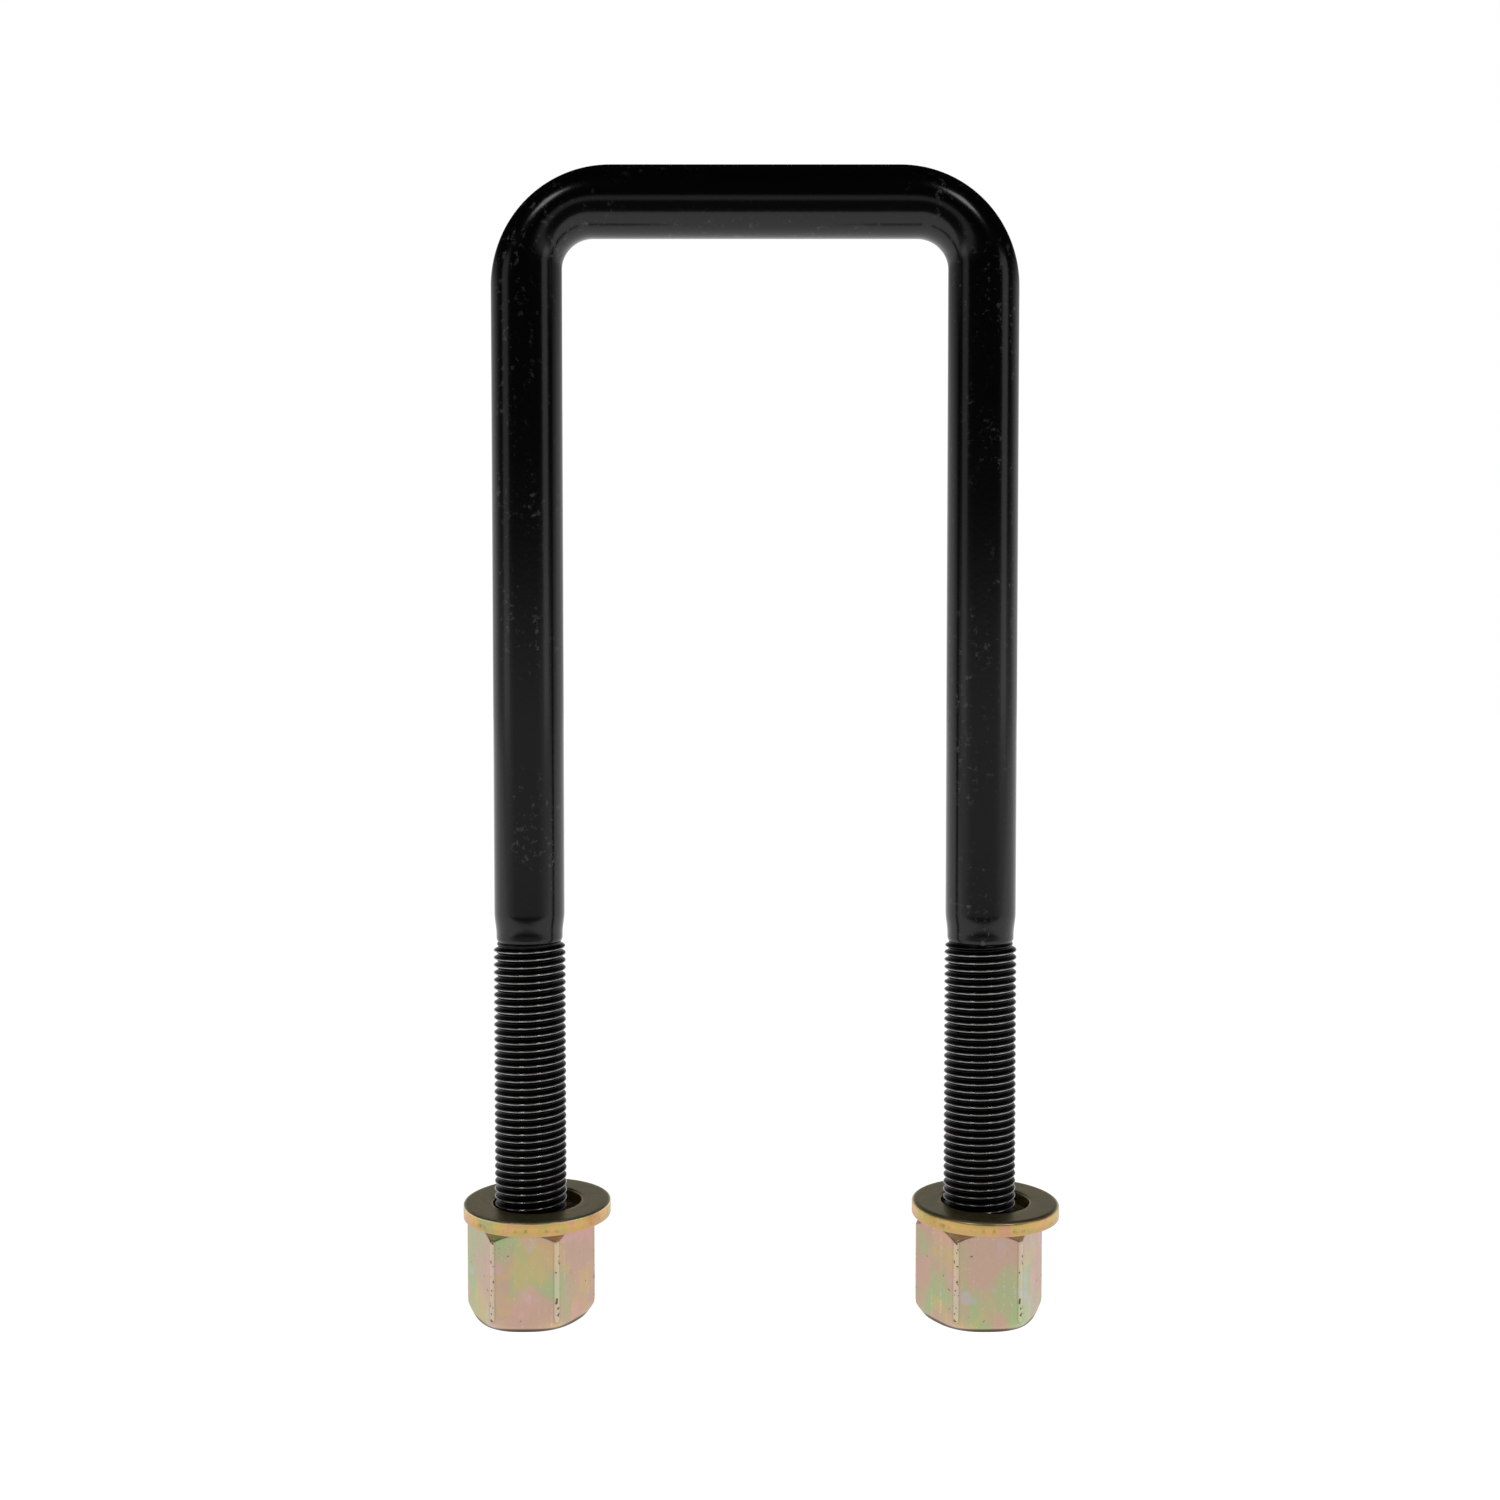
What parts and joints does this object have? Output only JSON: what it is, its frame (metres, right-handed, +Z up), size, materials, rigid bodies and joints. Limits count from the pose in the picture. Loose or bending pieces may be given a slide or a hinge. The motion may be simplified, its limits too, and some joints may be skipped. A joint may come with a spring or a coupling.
{
  "type": "u-bolt",
  "caption": "Square-bend U-bolt of black round bar with fine-threaded legs, tall hexagon nuts and plain washers for clamping a bar, axle or leaf spring.",
  "frame": {"origin": "floor level under the middle of the top bar, midway between the two legs; the part stands on its nuts", "axes": "+X from the left leg to the right leg along the top bar, -Y the front, +Z up the legs towards the bar"},
  "size_m": [0.0996, 0.0244, 0.1902],
  "materials": {
    "black_paint": "semi-gloss black paint on steel",
    "zinc_nut": "satin yellow zinc plating with faint pink and green bloom",
    "zinc_washer": "yellow zinc plating, gold to olive"
  },
  "bodies": {
    "rod": {"u_bolt": "black_paint"},
    "left_washer": {"left_washer": "zinc_washer"},
    "left_nut": {"left_nut": "zinc_nut"},
    "right_washer": {"right_washer": "zinc_washer"},
    "right_nut": {"right_nut": "zinc_nut"}
  },
  "joints": [
    {"name": "left_nut_travel", "type": "slide", "parent": "rod", "child": "left_washer", "axis": [0, 0, 1], "range_m": [-0.01375, 0.04125]},
    {"name": "left_nut_turn", "type": "hinge", "parent": "left_washer", "child": "left_nut", "pos_m": [-0.0376, 0, 0], "axis": [0, 0, 1], "range_deg": [-3980, 11900]},
    {"name": "right_nut_travel", "type": "slide", "parent": "rod", "child": "right_washer", "axis": [0, 0, 1], "range_m": [-0.01375, 0.04125]},
    {"name": "right_nut_turn", "type": "hinge", "parent": "right_washer", "child": "right_nut", "pos_m": [0.0376, 0, 0], "axis": [0, 0, 1], "range_deg": [-3980, 11900]}
  ],
  "couplings": [
    {"joint": "left_nut_turn", "follows": "left_nut_travel", "rad_per_m": 5026.5},
    {"joint": "right_nut_turn", "follows": "right_nut_travel", "rad_per_m": 5026.5}
  ]
}
